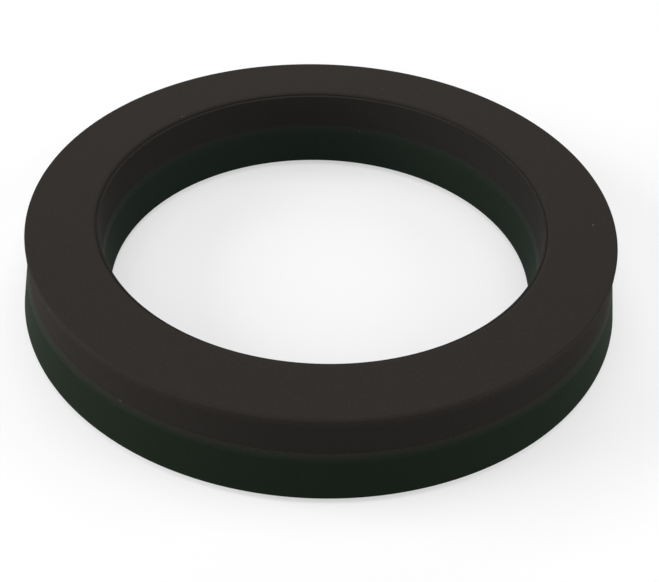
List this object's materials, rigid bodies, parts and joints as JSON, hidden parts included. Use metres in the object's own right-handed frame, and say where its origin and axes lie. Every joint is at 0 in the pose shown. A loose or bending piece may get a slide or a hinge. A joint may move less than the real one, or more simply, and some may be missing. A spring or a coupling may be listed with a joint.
{
  "type": "u cup seal",
  "caption": "Moulded rubber ring seal with a flat heel, an inner and an outer flared lip with bevelled ends, and a round-floored groove between the lips.",
  "frame": {"origin": "on the ring's axis, in the plane of the lip tips that it lies on", "axes": "+Z along the ring's axis and out of the heel face; the U opens towards -Z"},
  "size_m": [0.105, 0.105, 0.0159],
  "materials": {
    "moulded_rubber": "matt black-brown moulded rubber with a faint fine grain"
  },
  "bodies": {
    "root": {"seal_ring": "moulded_rubber"}
  },
  "joints": []
}
